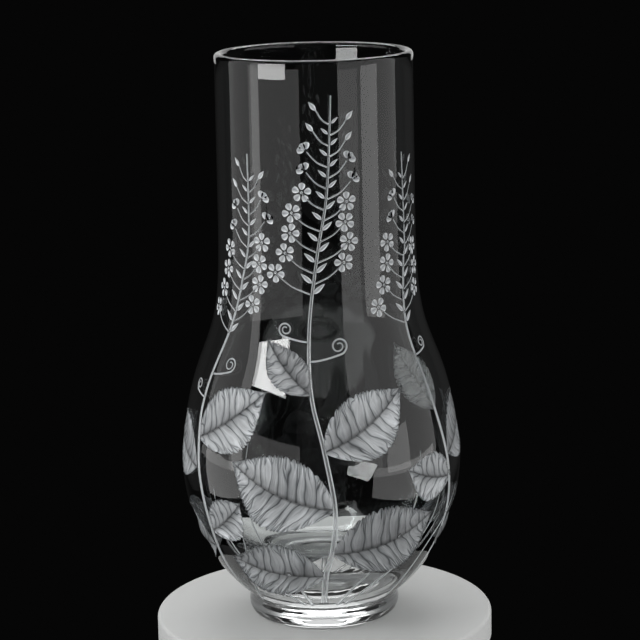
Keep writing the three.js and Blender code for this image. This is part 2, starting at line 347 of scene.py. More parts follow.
class Finish(bpy.types.PropertyGroup):
    """Colours of the glass and the floor"""

    glass: colour_of("Glass", "Tint of the clear glass", "#FBFDFD")
    matt: colour_of("Matt cut", "Matt hollows of leaves and petals", "#A9ADB0")
    # Crest, edge, shade and vein are painted light: painted highlights on the middles between veins and on
    # the rims of petals, painted shade on the slopes beside veins and along the vein lines. The edge colour
    # is also the ground ring's own satin colour.
    crest: colour_of("Crest", "Palest middle between two veins", "#C2C5C8")
    edge: colour_of("Edge", "Palest rims of petals, and the ground ring", "#E6E8EA")
    shade: colour_of("Shade", "Dim slope beside a vein", "#7A7E81")
    vein: colour_of("Vein", "Lines where the wheel cut deepest", "#414447")
    stem: colour_of("Stem", "Half-polished grooves", "#DCE0E2")
    floor: colour_of("Floor", "Plain floor", "#B6B7B6")


class Studio(bpy.types.PropertyGroup):
    """Camera, floor and lamps"""

    camera_distance: length_of("Distance", "Level distance to the axis", 1218.1 * MM)
    camera_height: length_of("Camera height", "Above the floor", 419.4 * MM)
    camera_aside: length_of("Camera aside", "To the right of the axis", 0.7 * MM)
    camera_pitch: angle_of("Pitch", "Down from level", 12.1)
    camera_roll: angle_of("Roll", "Clockwise lean", 1.15)
    lens: setting("Lens", "Focal length", 133.0, unit="CAMERA")
    floor_radius: length_of("Floor radius", "Round table top", 90 * MM)
    floor_thickness: length_of("Floor thickness", "Round table top", 14 * MM)
    panel_light: setting("Panels", "Radiance", 1.0)
    key_light: setting("Key", "Radiance", 8.5)
    top_light: setting("Top", "Radiance", 1.5)
    fill_light: setting("Fill", "Radiance on matt surfaces", 0.36)
    backdrop: setting("Backdrop", "Radiance behind", 0.0018)


def bezier(a, b, c, d, count):
    """Points on the cubic curve from a to d, both included."""
    flat = [Vector((p[0], p[1], 0)) for p in (a, b, c, d)]
    return [p.to_2d() for p in interpolate_bezier(*flat, count)]


def joined(*stretches):
    """One run of points from several that meet, with each shared point once."""
    points = list(stretches[0])
    for stretch in stretches[1:]:
        points += stretch[1:]
    return points


def quarter_ellipse(across, up, count):
    """Points from straight above the middle to level with it."""
    steps = [pi / 2 * i / (count - 1) for i in range(count)]
    return [Vector((across * sin(a), up * cos(a))) for a in steps]


def filleted(before, after, reach):
    """Two runs of points that meet in a corner, joined by a small curve that cuts it off."""
    corner = before[-1]
    kept_before = [p for p in before if (p - corner).length > reach]
    kept_after = [p for p in after if (p - corner).length > reach]
    start = corner + (kept_before[-1] - corner).normalized() * reach
    end = corner + (kept_after[0] - corner).normalized() * reach
    bend = bezier(start, start.lerp(corner, 2 / 3), end.lerp(corner, 2 / 3), end, FILLET_COUNT)
    return kept_before + bend + kept_after


def shoulder(shape, belly_inset, turn_inset, neck_inset, counts):
    """The S-curve from the widest part to the straight neck, that much inside the outside."""
    belly_z = shape.foot_height + shape.belly_rise
    turn_z = belly_z + shape.shoulder_rise
    neck_z = turn_z + shape.neck_rise
    lean = shape.shoulder_lean
    up = Vector((-sin(lean), cos(lean)))
    out = Vector((cos(lean), sin(lean)))
    belly = Vector((shape.belly_radius - belly_inset, belly_z))
    neck = Vector((shape.neck_radius - neck_inset, neck_z))
    spread = shape.belly_radius - shape.neck_radius
    turn = Vector((shape.neck_radius + shape.shoulder_share * spread, turn_z)) - out * turn_inset
    rounding = Vector((0, SHOULDER_ROUNDING * shape.shoulder_rise))
    straight = Vector((0, NECK_STRAIGHTENING * shape.neck_rise))
    low = turn - up * TURN_BELOW * shape.shoulder_rise
    high = turn + up * TURN_ABOVE * shape.neck_rise
    return joined(
        bezier(belly, belly + rounding, low, turn, counts[0]),
        bezier(turn, high, neck - straight, neck, counts[1]),
    )


def outside_points(shape, counts=GUIDE_COUNTS):
    """The outside from the joint with the foot to the straight part of the lip."""
    joint = Vector((shape.foot_radius - shape.joint_inset, shape.foot_height))
    belly = Vector((shape.belly_radius, shape.foot_height + shape.belly_rise))
    angle = shape.bowl_angle
    swell = Vector((cos(angle), sin(angle))) * BOWL_SWELL * shape.belly_rise
    fullness = Vector((0, BELLY_FULLNESS * shape.belly_rise))
    lip = Vector((shape.lip_radius, shape.height - shape.neck_wall / 2))
    curved = joined(
        bezier(joint, joint + swell, belly - fullness, belly, counts[0]),
        shoulder(shape, 0, 0, 0, counts[1:]),
    )
    rows = NECK_ROWS[0]
    return curved + [curved[-1].lerp(lip, (i + 1) / rows) for i in range(rows)]


def inside_points(shape):
    """The inside from the lip down to the middle of the floor."""
    floor_z = shape.foot_height + shape.floor
    belly = Vector((shape.belly_radius - shape.belly_wall, shape.foot_height + shape.belly_rise))
    middle = Vector((0, floor_z))
    flat = Vector((FLOOR_ROUNDNESS * belly.x, floor_z))
    upright = belly - Vector((0, FLOOR_ROUNDNESS * (belly.y - floor_z)))
    turn_wall = (shape.neck_wall + shape.belly_wall) / 2
    walls = (shape.belly_wall, turn_wall, shape.neck_wall)
    bowl_count, *shoulder_counts = INSIDE_COUNTS
    bowl = bezier(middle, flat, upright, belly, bowl_count)
    up = joined(bowl, shoulder(shape, *walls, shoulder_counts))
    lip = Vector((shape.lip_radius - shape.neck_wall, shape.height - shape.neck_wall / 2))
    rows = NECK_ROWS[1]
    up += [up[-1].lerp(lip, (i + 1) / rows) for i in range(rows)]
    return up[::-1]


def lip_points(shape):
    """The half round of the fire-polished lip, from the outside to the inside."""
    half = shape.neck_wall / 2
    centre = Vector((shape.lip_radius - half, shape.height - half))
    steps = [pi * i / (LIP_COUNT - 1) for i in range(LIP_COUNT)]
    return [centre + Vector((cos(a), sin(a))) * half for a in steps]


def tooled(points, height, spacing):
    """A run of points with the shallow rings of hot work, which fade out towards both ends."""
    steps = [(b - a).length for a, b in zip(points, points[1:])]
    total, run = sum(steps), 0.0
    rippled = [points[0]]
    for a, b, c, step in zip(points, points[1:], points[2:], steps):
        run += step
        fade = min(run, total - run, spacing) / spacing
        outward = (c - a).normalized().orthogonal()
        rippled.append(b + outward * height * fade * sin(2 * pi * run / spacing))
    return rippled + [points[-1]]


def foot_points(shape):
    """The foot from the middle of its hollow over the standing ring and up its side."""
    ring_outer = shape.foot_radius - shape.contact_inset
    ring_inner = ring_outer - shape.contact_width
    hollow = quarter_ellipse(ring_inner, shape.hollow_depth, HOLLOW_COUNT)
    ring = [Vector((ring_inner + shape.contact_width * i / 3, 0)) for i in range(4)]
    bulge = Vector((shape.foot_radius, shape.foot_bulge))
    shoulder_height = shape.foot_height - shape.foot_bulge
    joint = Vector((shape.foot_radius - shape.joint_inset, shape.foot_height))
    level = Vector((ring_outer + shape.foot_edge, 0))
    steep = Vector((shape.foot_radius, shape.foot_bulge / 3))
    edge = bezier((ring_outer, 0), level, steep, bulge, EDGE_COUNT)
    upright = bulge + Vector((0, shoulder_height / 2))
    inward = joint + Vector((shape.joint_inset / 2, -shoulder_height / 6))
    side = bezier(bulge, upright, inward, joint, SIDE_COUNT)
    hollow = tooled(hollow, shape.tool_rings, 1.5 * shape.ring_spacing)
    outer = tooled(joined(edge, side), shape.tool_rings, shape.ring_spacing)
    return joined(filleted(hollow, ring, shape.contact_edge), outer)


class OutsideGuide:
    """Finds a place on the outside by its angle and its length up the surface from the joint."""

    def __init__(self, shape):
        self.points = outside_points(shape)
        self.rises = [0.0]
        for a, b in zip(self.points, self.points[1:]):
            self.rises.append(self.rises[-1] + (b - a).length)

    def at(self, rise):
        """The outline's point at that rise, and the direction that it runs in there."""
        i = min(max(bisect_right(self.rises, rise) - 1, 0), len(self.points) - 2)
        a, b = self.points[i], self.points[i + 1]
        share = (rise - self.rises[i]) / (self.rises[i + 1] - self.rises[i])
        return a.lerp(b, share), (b - a).normalized()

    def radius(self, rise):
        return self.at(rise)[0].x

    def place(self, angle, rise, height):
        """The point at that angle and rise, lifted off the surface by height."""
        spot, along = self.at(rise)
        radius = spot.x + height * along.y
        return Vector((radius * sin(angle), -radius * cos(angle), spot.y - height * along.x))


class Route:
    """A smooth line over the surface through places given as degrees and millimetres of rise."""

    def __init__(self, places):
        self.places = [Vector((radians(angle), rise * MM)) for angle, rise in places]

    def at(self, share):
        """Angle and rise at a share of the way, on a curve through all places."""
        spans = len(self.places) - 1
        span = min(int(share * spans), spans - 1)
        t = share * spans - span
        a = self.places[max(span - 1, 0)]
        b, c = self.places[span], self.places[span + 1]
        d = self.places[min(span + 2, spans)]
        pull = (c - a) * t + (2 * a - 5 * b + 4 * c - d) * t**2 + (3 * b - a - 3 * c + d) * t**3
        return b + pull / 2

    def share_at(self, rise):
        """The share of the way at which the route has that rise."""
        low, high = 0.0, 1.0
        for _ in range(30):
            middle = (low + high) / 2
            if self.at(middle).y < rise:
                low = middle
            else:
                high = middle
        return low


def on_surface(guide, start, along, across, lean):
    """Angle and rise that far along a direction from start, and that far to the left of it."""
    rise = start.y + along * sin(lean) + across * cos(lean)
    aside = along * cos(lean) - across * sin(lean)
    return start.x + aside / guide.radius(rise), rise


def extruded(form, faces):
    """Extrudes the faces and gives the vertices of their copy."""
    made = bmesh.ops.extrude_face_region(form, geom=faces)["geom"]
    return [item for item in made if isinstance(item, bmesh.types.BMVert)]


def carve(cutters, guide, grid, spot, clearance, finish):
    """Adds one closed cutter. spot gives angle, rise, depth and vein count for each grid point."""
    side_of = cutters.verts.layers.float["cut_side"]
    vein_of = cutters.verts.layers.float["cut_vein"]
    floor = bmesh.ops.create_grid(cutters, x_segments=grid[0], y_segments=grid[1], size=1)["verts"]
    back = extruded(cutters, list({face for vert in floor for face in vert.link_faces}))
    for verts, is_floor in ((floor, True), (back, False)):
        for vert in verts:
            side = vert.co.x
            angle, rise, depth, vein = spot(side, (vert.co.y + 1) / 2)
            vert[side_of] = side
            vert[vein_of] = vein
            vert.co = guide.place(angle, rise, -depth if is_floor else clearance)
    for face in {face for vert in floor + back for face in vert.link_faces}:
        face.material_index = finish
        face.smooth = True


def leaf_share(t):
    """Width of a leaf from its stalk (0) to its drawn-out tip (1), as a share of its widest."""
    swell, taper = 0.7, 1.2
    widest = swell / (swell + taper)
    return t**swell * (1 - t) ** taper / (widest**swell * (1 - widest) ** taper)


def carve_leaf(cutters, guide, cut, leaf, number):
    """A toothed leaf: a midrib, and a hollow from each side vein to the next. The veins fork."""
    angle, rise, lean, *sizes = leaf
    start = Vector((radians(angle), rise * MM))
    heading = radians(lean)
    length, width, bow = (size * MM for size in sizes)
    veins = max(round(length / cut.vein_spacing), FEWEST_VEINS)
    # The side that counts as positive is the lower half of a leaf, whichever way it points
    hand = 1 if cos(heading) < 0 else -1

    def spot(side, t):
        out = abs(side)
        waves = (
            size * sin(outward * out + onward * veins * t + phase)
            for (size, outward, onward), phase in zip(VEIN_WAVES, (lean, rise))
        )
        vein = veins * t + sum(waves) * min(out * 3, 1)
        past_vein = (vein + (0.5 if side > 0 else 0)) % 1
        # Teeth and hollows grow in from the stalk and fade out to the tip
        fade = min(t * 6, 1) * min((1 - t) * 8, 1)
        tooth = 1 + cut.tooth * (sqrt(abs(cos(2 * pi * past_vein)) + 0.01) - 0.6) * fade * out**5
        half = max(leaf_share(t) * width, cut.leaf_tip) / 2 * tooth
        along = t * length + cut.vein_slant * out * half
        across = hand * side * half + bow * 4 * t * (1 - t)
        lobe = cut.lobe_depth * sin(pi * out)
        base = cut.midrib_depth + (cut.edge_depth - cut.midrib_depth) * out
        ridge = cut.midrib_crest * exp(-((out / MIDRIB_SHARE) ** 2))
        opened = max(out - FORK_START, 0) / (1 - FORK_START)
        branch = FORK_SPREAD * opened * opened * (3 - 2 * opened)
        away = abs(min(past_vein, 1 - past_vein) - branch)
        cell = cut.vein_depth * sqrt(min(away / FORK_SPREAD, 1)) * min(out * 5, 1) * fade
        depth = (base + lobe) * max(fade, 0.5) + cell - ridge
        place = on_surface(guide, start, along, across, heading)
        return (*place, depth, vein + VEINS_PER_LEAF * number)

    carve(cutters, guide, (LEAF_GRID[0], LEAF_GRID[1] * veins), spot, cut.clearance, WHEEL_CUT)


def carve_groove(cutters, guide, cut, route, widths, depth, grid, finish):
    """A round-bottomed groove along a route, as wide as widths say at its start and its end."""
    step = 0.01
    edge_depth = 0.05 * MM

    def spot(side, t):
        here = route.at(t)
        ahead = route.at(min(t + step, 1)) - route.at(max(t - step, 0))
        lean = atan2(ahead.y, ahead.x * guide.radius(here.y))
        half = (widths[0] + (widths[1] - widths[0]) * t) / 2
        angle, rise = on_surface(guide, here, 0, side * half, lean)
        return angle, rise, depth * sqrt(max(1 - side * side, 0)) + edge_depth, 0.5

    carve(cutters, guide, grid, spot, cut.clearance, finish)


def carve_blade(cutters, guide, cut, start, lean, size, shares, grid, notch=0.0):
    """A petal, bud or bract of that length, width and depth. shares gives its width along it."""
    length, width, depth = size
    tip_width = 0.25 * MM
    edge_depth = 0.12 * MM

    def spot(side, t):
        half = max(shares(t) * width, tip_width) / 2
        drawn_in = 1 - notch * t**4 * exp(-((side / 0.35) ** 2))
        angle, rise = on_surface(guide, start, t * length * drawn_in, side * half, lean)
        dish = sin(pi * min(max(t, 0.04), 0.96)) * (1 - 0.75 * side * side)
        crest = 0.3 * exp(-((side / 0.22) ** 2))
        return angle, rise, edge_depth + depth * dish * (1 - crest), t

    carve(cutters, guide, grid, spot, cut.clearance, PETAL_CUT)


def petal_share(t):
    return sqrt(max(1 - (2 * t - 1) ** 2, 0)) * (0.62 + 0.62 * t)


def bud_share(t):
    return sin(pi * t**0.8) ** 1.1


def bract_share(t):
    return sin(pi * t**0.7) ** 0.8


def carve_flower(cutters, guide, cut, centre, turn, petals, spread):
    """A flower of that many petals, fanned over the spread round the direction turn."""
    inner = PETAL_START * cut.flower_radius
    size = (cut.flower_radius - inner, PETAL_WIDTH * cut.flower_radius, cut.petal_depth)
    is_open = spread == FULL_TURN
    gap = spread / petals if is_open else spread / (petals - 1)
    first = turn - (0 if is_open else spread / 2)
    for i in range(petals):
        lean = first + gap * i
        start = Vector(on_surface(guide, centre, inner, 0, lean))
        carve_blade(cutters, guide, cut, start, lean, size, petal_share, PETAL_GRID, PETAL_NOTCH)
    if is_open:
        eye = EYE_WIDTH * cut.flower_radius
        start = Vector(on_surface(guide, centre, -eye / 2, 0, 0))
        size = (eye, eye, cut.petal_depth / 2)
        carve_blade(cutters, guide, cut, start, 0, size, petal_share, EYE_GRID)


def stem_route(plant):
    return Route(plant["stem"] + (plant["spray"]["tip"],))


def spray_places(guide, plant):
    """For each stalk its root on the stem, its head, 1 or -1 for its side, and its share of the way."""
    route, spray = stem_route(plant), plant["spray"]
    first, last = spray["from"] * MM, spray["tip"][1] * MM
    low, high = STALK_RISES
    places = []
    for i in range(spray["count"]):
        share = i / spray["count"]
        root = route.at(route.share_at(first + (last - first) * (STALKS_FROM + STALKS_OVER * share)))
        side = 1 if i % 2 else -1
        reach = spray["reach"] * MM * (1 - STALK_TAPER * share) * (SHORT_STALK if i % 3 else 1)
        rise = root.y + (low + (high - low) * share) * MM
        places.append((root, Vector((root.x + side * reach / guide.radius(rise), rise)), side, share))
    return places


def tendril_route(guide, tendril):
    """A thin line that leaves its stem sideways and curls inwards and up."""
    number, rise, side, reach, curl = tendril
    stem = stem_route(PLANTS[number])
    start = stem.at(stem.share_at(rise * MM))
    points = [(0, 0), (0.28 * reach, 0.02 * reach), (0.66 * reach, 0.1 * reach)]
    steps = round(CURL_TURNS * 10)
    for i in range(steps + 1):
        turned = FULL_TURN * CURL_TURNS * i / steps - pi / 2
        radius = curl * (1 - CURL_TIGHTENING * i / steps)
        points.append((reach + radius * cos(turned), 0.2 * reach + curl + radius * sin(turned)))
    turns = [side * aside * MM / guide.radius(start.y + up * MM) for aside, up in points]
    rises = [start.y / MM + up for _, up in points]
    return Route([(degrees(start.x + turn), rise) for turn, rise in zip(turns, rises)])


def add_node(tree, kind, inputs=None, output=0, stops=(), **settings):
    """Adds a node and gives one of its outputs. kind is its type without ShaderNode.

    inputs are values, or sockets to link from, stops are the places and colours of a ramp, and
    settings are the node's own properties.
    """
    node = tree.nodes.new("ShaderNode" + kind)
    for name, value in settings.items():
        setattr(node, name, value)
    for name, value in (inputs or {}).items():
        if isinstance(value, bpy.types.NodeSocket):
            tree.links.new(value, node.inputs[name])
        else:
            node.inputs[name].default_value = value
    for i, (place, colour) in enumerate(stops):
        elements = node.color_ramp.elements
        element = elements[i] if i < 2 else elements.new(place)
        element.position = place
        element.color = colour
    return node.outputs[output] if node.outputs else None


def new_material(name):
    """A material without nodes, and the function that adds them to it."""
    material = bpy.data.materials.new(name)
    material.use_nodes = True
    material.node_tree.nodes.clear()
    return material, partial(add_node, material.node_tree)


def finished(material, add, skin, relief):
    """Gives the material its surface. skin holds the shader's inputs and relief the bump's."""
    normal = add("Bump", relief)
    shader = add("BsdfPrincipled", {**skin, "Normal": normal})
    add("OutputMaterial", {"Surface": shader})
    return material


def grained(add, scale, detail, strength, height=0.1 * MM):
    """Gives the bump's inputs for an even grain, as many to the metre as scale says."""
    place = add("TexCoord", output="Object")
    noise = add("TexNoise", {"Vector": place, "Scale": scale, "Detail": detail})
    return {"Height": noise, "Strength": strength, "Distance": height}


def across_cut(add):
    """Where a point lies across its cut, from -1 to 1, and how far out that is."""
    side = add("Attribute", output="Fac", attribute_name="cut_side")
    return side, add("Math", {0: side}, operation="ABSOLUTE")


def fire_polished_glass(finish):
    """Blown lead-free crystal, fire-polished: brilliant, with the faint ripple of hot work."""
    material, add = new_material("fire_polished_blown_glass")
    # Ripples about 40 mm long and a few hundredths of a millimetre high
    relief = grained(add, 25.0, 1.0, 0.5, 0.12 * MM)
    skin = {"Base Color": finish.glass, "Roughness": 0.0, "IOR": GLASS_IOR, "Transmission Weight": 1.0}
    return finished(material, add, skin, relief)


def leaf_veins(add, side, out, vein):
    """How far a point is from the nearest vein, and its own count of side veins."""
    is_lower = add("Math", {0: side, 1: 0.0}, operation="GREATER_THAN")
    # Side veins wander by up to a tenth of their spacing
    grid = add("CombineXYZ", {"X": side, "Y": vein})
    wander = add("TexNoise", {"Vector": grid, "Scale": 1.7, "Detail": 1.0})
    wander = add("MapRange", {"Value": wander, **NOISE_SPAN, "To Min": -0.1, "To Max": 0.1})
    wandered = add("Math", {0: vein, 1: wander}, operation="ADD")
    # Veins of the lower half start between those of the upper half
    count = add("Math", {0: is_lower, 1: 0.5, 2: wandered}, operation="MULTIPLY_ADD")
    from_vein = add("Math", {0: count, 1: 0.5}, operation="PINGPONG")
    # Each vein forks at its own place, 20% to 75% of the way out
    nearest = add("Math", {0: count}, operation="ROUND")
    each = add("CombineXYZ", {"X": nearest, "Y": is_lower})
    chance = add("TexWhiteNoise", {"Vector": each}, noise_dimensions="2D")
    fork = add("MapRange", {"Value": chance, "To Min": 0.2, "To Max": 0.75})
    opening = {"Value": out, "From Min": fork, "From Max": 1.05, "To Max": FORK_SPREAD}
    opening = add("MapRange", opening, interpolation_type="SMOOTHSTEP")
    branch = add("Math", {0: from_vein, 1: opening}, operation="SUBTRACT")
    branch = add("Math", {0: branch}, operation="ABSOLUTE")
    # Veins thin towards the edge, and one that forks early is stronger than its neighbours
    taper = add("MapRange", {"Value": out, "To Min": 1.7, "To Max": 0.45})
    weight = add("MapRange", {"Value": chance, "To Min": 1.3, "To Max": 0.4})
    thickness = add("Math", {0: taper, 1: weight}, operation="MULTIPLY")
    branch = add("Math", {0: branch, 1: thickness}, operation="DIVIDE")
    # Short lines from the edge inwards, between the branches
    short = add("Math", {0: from_vein, 1: 0.25}, operation="PINGPONG")
    growth = {"Value": out, "From Min": 0.7, "From Max": 1.0, "To Min": 0.02, "To Max": 1.0}
    growth = add("MapRange", growth)
    short = add("Math", {0: short, 1: growth}, operation="DIVIDE")
    return add("Math", {0: branch, 1: short}, operation="MINIMUM"), count


def leaf_tone(add, streak, vein, count):
    """How pale each place is, as a share of the leaf's colour: streaks, patches and wear, with painted
    shade across each hollow.
    """
    streaks = add("MapRange", {"Value": streak, **NOISE_SPAN, "To Min": 0.74, "To Max": 1.14})
    # Cloudy patches about 15 mm across, from uneven pressure on the wheel
    place = add("TexCoord", output="Object")
    patch = add("TexNoise", {"Vector": place, "Scale": 70.0, "Detail": 1.0})
    patches = add("MapRange", {"Value": patch, **NOISE_SPAN, "To Min": 0.76, "To Max": 1.12})
    # Painted shade: each hollow is painted paler just past its vein and dimmer towards the next one, as a
    # hollow lit from one side looks
    past = add("Math", {0: count}, operation="FRACT")
    lean = add("MapRange", {"Value": past, "To Min": 1.12, "To Max": 0.86})
    # Each leaf was cut with a wheel of its own wear, so some are dimmer than their neighbours
    number = add("Math", {0: vein, 1: VEINS_PER_LEAF}, operation="DIVIDE")
    number = add("Math", {0: number}, operation="ROUND")
    wear = add("TexWhiteNoise", {"W": number}, noise_dimensions="1D")
    wear = add("MapRange", {"Value": wear, "To Min": 0.6, "To Max": 1.06})
    tone = streaks
    for share in (patches, lean, wear):
        tone = add("Math", {0: tone, 1: share}, operation="MULTIPLY")
    return tone


def wheel_cut_glass(finish):
    """Glass left matt by the cutting wheel, with thin veins that fork. Its colour holds painted light:
    painted shade along the veins and beside the midrib, and painted highlights on the pillows between veins
    and on the edges.
    """
    material, add = new_material("matt_wheel_cut_glass")
    side, out = across_cut(add)
    vein = add("Attribute", output="Fac", attribute_name="cut_vein")
    nearest, count = leaf_veins(add, side, out, vein)
    # Painted light between the veins: painted shade on each vein line and the slope beside it, the matt
    # colour, then a painted highlight on the crest of each hollow
    vein_shade_and_crest_highlight = ((0.0, finish.vein), (0.035, finish.shade), (0.09, finish.matt), (0.3, finish.crest))
    lines = add("ValToRGB", {"Fac": nearest}, stops=vein_shade_and_crest_highlight)
    # Painted shade across the leaf, dimmer on the upper half beside the midrib, with painted highlights on
    # both edges
    across = add("MapRange", {"Value": side, "From Min": -1.0})
    half_shade_stops = [(place, (grey, grey, grey, 1)) for place, grey in LEAF_SHADE_AND_HIGHLIGHT_GREYS]
    painted_half_shade = add("ValToRGB", {"Fac": across}, stops=half_shade_stops)
    # Streaks of the wheel along the side veins, drawn about 1 mm apart so that they show
    grid = add("CombineXYZ", {"X": side, "Y": vein})
    stretched = add("Mapping", {"Vector": grid, "Scale": (2.2, 8.0, 1.0)})
    streak = add("TexNoise", {"Vector": stretched, "Scale": 1.0, "Detail": 4.0})
    tone = leaf_tone(add, streak, vein, count)
    colour = add("VectorMath", {0: lines, 1: painted_half_shade}, operation="MULTIPLY")
    colour = add("VectorMath", {"Vector": colour, "Scale": tone}, operation="SCALE")
    pillow = add("MapRange", {"Value": nearest, "From Max": 0.2}, interpolation_type="SMOOTHSTEP")
    height = add("Math", {0: streak, 1: 0.5, 2: pillow}, operation="MULTIPLY_ADD")
    relief = {"Height": height, "Strength": 0.8, "Distance": 0.4 * MM}
    skin = {"Base Color": colour, "Roughness": 0.5, "IOR": GLASS_IOR, "Transmission Weight": 0.2}
    return finished(material, add, skin, relief)


def petal_cut_glass(finish):
    """Petals, buds, bracts and tendrils, cut shallow: paler than the leaves, with painted shade along the
    middle and painted highlights on the rims.
    """
    material, add = new_material("matt_petal_cut_glass")
    _, out = across_cut(add)
    # Painted light across a petal: painted shade along its middle and a painted highlight on its rims
    petal_shade_and_rim_highlight = ((0.0, finish.shade), (0.2, finish.matt), (0.6, finish.crest), (0.9, finish.edge))
    colour = add("ValToRGB", {"Fac": out}, stops=petal_shade_and_rim_highlight)
    # Grain of the wheel, 1 mm long, coarser than the real one so that it shows
    relief = grained(add, 900.0, 2.0, 0.5)
    skin = {"Base Color": colour, "Roughness": 0.5, "IOR": GLASS_IOR, "Transmission Weight": 0.25}
    return finished(material, add, skin, relief)


def half_polished_glass(finish):
    """Grooves brushed half bright after cutting: see-through in the middle, frosted at both edges."""
    material, add = new_material("half_polished_cut_glass")
    _, out = across_cut(add)
    clear = {"Value": out, "From Min": 0.25, "From Max": 0.85, "To Min": 0.8, "To Max": 0.3}
    clear = add("MapRange", clear, interpolation_type="SMOOTHSTEP")
    # Grain of the brush, 1 mm long, coarser than the real one so that it shows
    relief = grained(add, 900.0, 2.0, 0.4)
    skin = {"Base Color": finish.stem, "Roughness": 0.25, "IOR": GLASS_IOR, "Transmission Weight": clear}
    return finished(material, add, skin, relief)


def ground_glass(finish):
    """The standing ring and the slope inside it: satin from the flat lap, scuffed by tables."""
    material, add = new_material("ground_glass_ring")
    # Scuffs about 1.4 mm long, coarser than the real ones so that they show
    relief = grained(add, 700.0, 3.0, 0.5)
    skin = {"Base Color": finish.edge, "Roughness": 0.25, "IOR": GLASS_IOR, "Transmission Weight": 0.6}
    return finished(material, add, skin, relief)


def painted_floor(finish):
    """Pale matt painted board: soft, even and barely mottled by the roller."""
    material, add = new_material("matt_painted_board")
    # Mottle about 2.5 mm across
    relief = grained(add, 400.0, 2.0, 0.2)
    return finished(material, add, {"Base Color": finish.floor, "Roughness": 0.65}, relief)


def add_object(name, data):
    thing = bpy.data.objects.new(name, data)
    bpy.context.scene.collection.objects.link(thing)
    return thing


def from_bmesh(name, form, materials=()):
    mesh = bpy.data.meshes.new(name)
    form.to_mesh(mesh)
    form.free()
    for material in materials:
        mesh.materials.append(material)
    return add_object(name, mesh)


def new_cutters():
    form = bmesh.new()
    form.verts.layers.float.new("cut_side")
    form.verts.layers.float.new("cut_vein")
    return form


def cut_into_glass(cutters, name):
    """Takes the cutters out of the glass, whose cut faces get the cutters' finish."""
    glass = bpy.data.objects["vase_glass"]
    bmesh.ops.recalc_face_normals(cutters, faces=cutters.faces[:])
    tool = from_bmesh(name, cutters, glass.data.materials)
    cut = glass.modifiers.new(name, "BOOLEAN")
    cut.operation = "DIFFERENCE"
    cut.solver = "MANIFOLD"
    cut.material_mode = "INDEX"
    cut.object = tool
    depsgraph = bpy.context.evaluated_depsgraph_get()
    mesh = bpy.data.meshes.new_from_object(glass.evaluated_get(depsgraph))
    if len(mesh.polygons) == len(glass.data.polygons):
        raise RuntimeError(f"{name} cut nothing out of the glass")
    old = glass.data
    glass.modifiers.remove(cut)
    glass.data = mesh
    mesh.name = "vase_glass"
    bpy.data.meshes.remove(old)
    old = tool.data
    bpy.data.objects.remove(tool)
    bpy.data.meshes.remove(old)


class VASE_OT_blow(bpy.types.Operator):
    """Blow the body and fuse the foot to it, as one turned piece of clear glass"""

    bl_idname = "vase.blow"
    bl_label = "Blow the glass"

    def execute(self, context):
        shape = context.scene.vase_shape
        outline = filleted(foot_points(shape), outside_points(shape, OUTSIDE_COUNTS), shape.crease)
        outline = joined(outline, lip_points(shape), inside_points(shape))
        form = bmesh.new()
        verts = [form.verts.new((p.x, 0, p.y)) for p in outline]
        edges = [form.edges.new(pair) for pair in zip(verts, verts[1:])]
        turn = {"cent": (0, 0, 0), "axis": (0, 0, 1), "angle": FULL_TURN}
        bmesh.ops.spin(form, geom=verts + edges, steps=TURN_STEPS, use_merge=True, **turn)
        bmesh.ops.remove_doubles(form, verts=form.verts[:], dist=MERGE_DISTANCE)
        bmesh.ops.recalc_face_normals(form, faces=form.faces[:])
        ring_outer = shape.foot_radius - shape.contact_inset
        for face in form.faces:
            face.smooth = True
            middle = face.calc_center_median()
            is_underside = middle.z < 1.01 * shape.hollow_depth
            is_ground = is_underside and shape.polished_radius < middle.xy.length < ring_outer
            face.material_index = GROUND if is_ground else FIRE_POLISHED
        makers = (fire_polished_glass, wheel_cut_glass, half_polished_glass, ground_glass, petal_cut_glass)
        from_bmesh("vase_glass", form, [make(context.scene.vase_finish) for make in makers])
        return {"FINISHED"}


class VASE_OT_cut_leaves(bpy.types.Operator):
    """Cut the serrated leaves, with their midribs and side veins"""

    bl_idname = "vase.cut_leaves"
    bl_label = "Cut the leaves"

    def execute(self, context):
        guide = OutsideGuide(context.scene.vase_shape)
        cutters = new_cutters()
        leaves = [leaf for plant in PLANTS for leaf in plant["leaves"]]
        for number, leaf in enumerate(leaves):
            carve_leaf(cutters, guide, context.scene.vase_cut, leaf, number)
        cut_into_glass(cutters, "leaf_cutters")
        return {"FINISHED"}


class VASE_OT_cut_stems(bpy.types.Operator):
    """Cut the tendrils, blades and stems as round-bottomed grooves that thin towards their tips"""

    bl_idname = "vase.cut_stems"
    bl_label = "Cut the stems"

    def execute(self, context):
        cut = context.scene.vase_cut
        guide = OutsideGuide(context.scene.vase_shape)
        tendrils = [tendril_route(guide, tendril) for tendril in TENDRILS]
        blades = [Route(places) for places in BLADES]
        stems = [stem_route(plant) for plant in PLANTS]
        thin = cut.stalk_width
        tendril = ((1.1 * thin, STALK_END * thin), STALK_DEPTH * thin, TENDRIL_GRID, PETAL_CUT)
        blade = ((cut.blade_width, cut.blade_tip), cut.blade_depth, BLADE_GRID, HALF_POLISHED)
        stem = ((cut.stem_width, thin), cut.stem_depth, STEM_GRID, HALF_POLISHED)
        kinds = (("tendril", tendrils, tendril), ("blade", blades, blade), ("stem", stems, stem))
        for name, routes, sizes in kinds:
            cutters = new_cutters()
            for route in routes:
                carve_groove(cutters, guide, cut, route, *sizes)
            cut_into_glass(cutters, name + "_cutters")
        return {"FINISHED"}


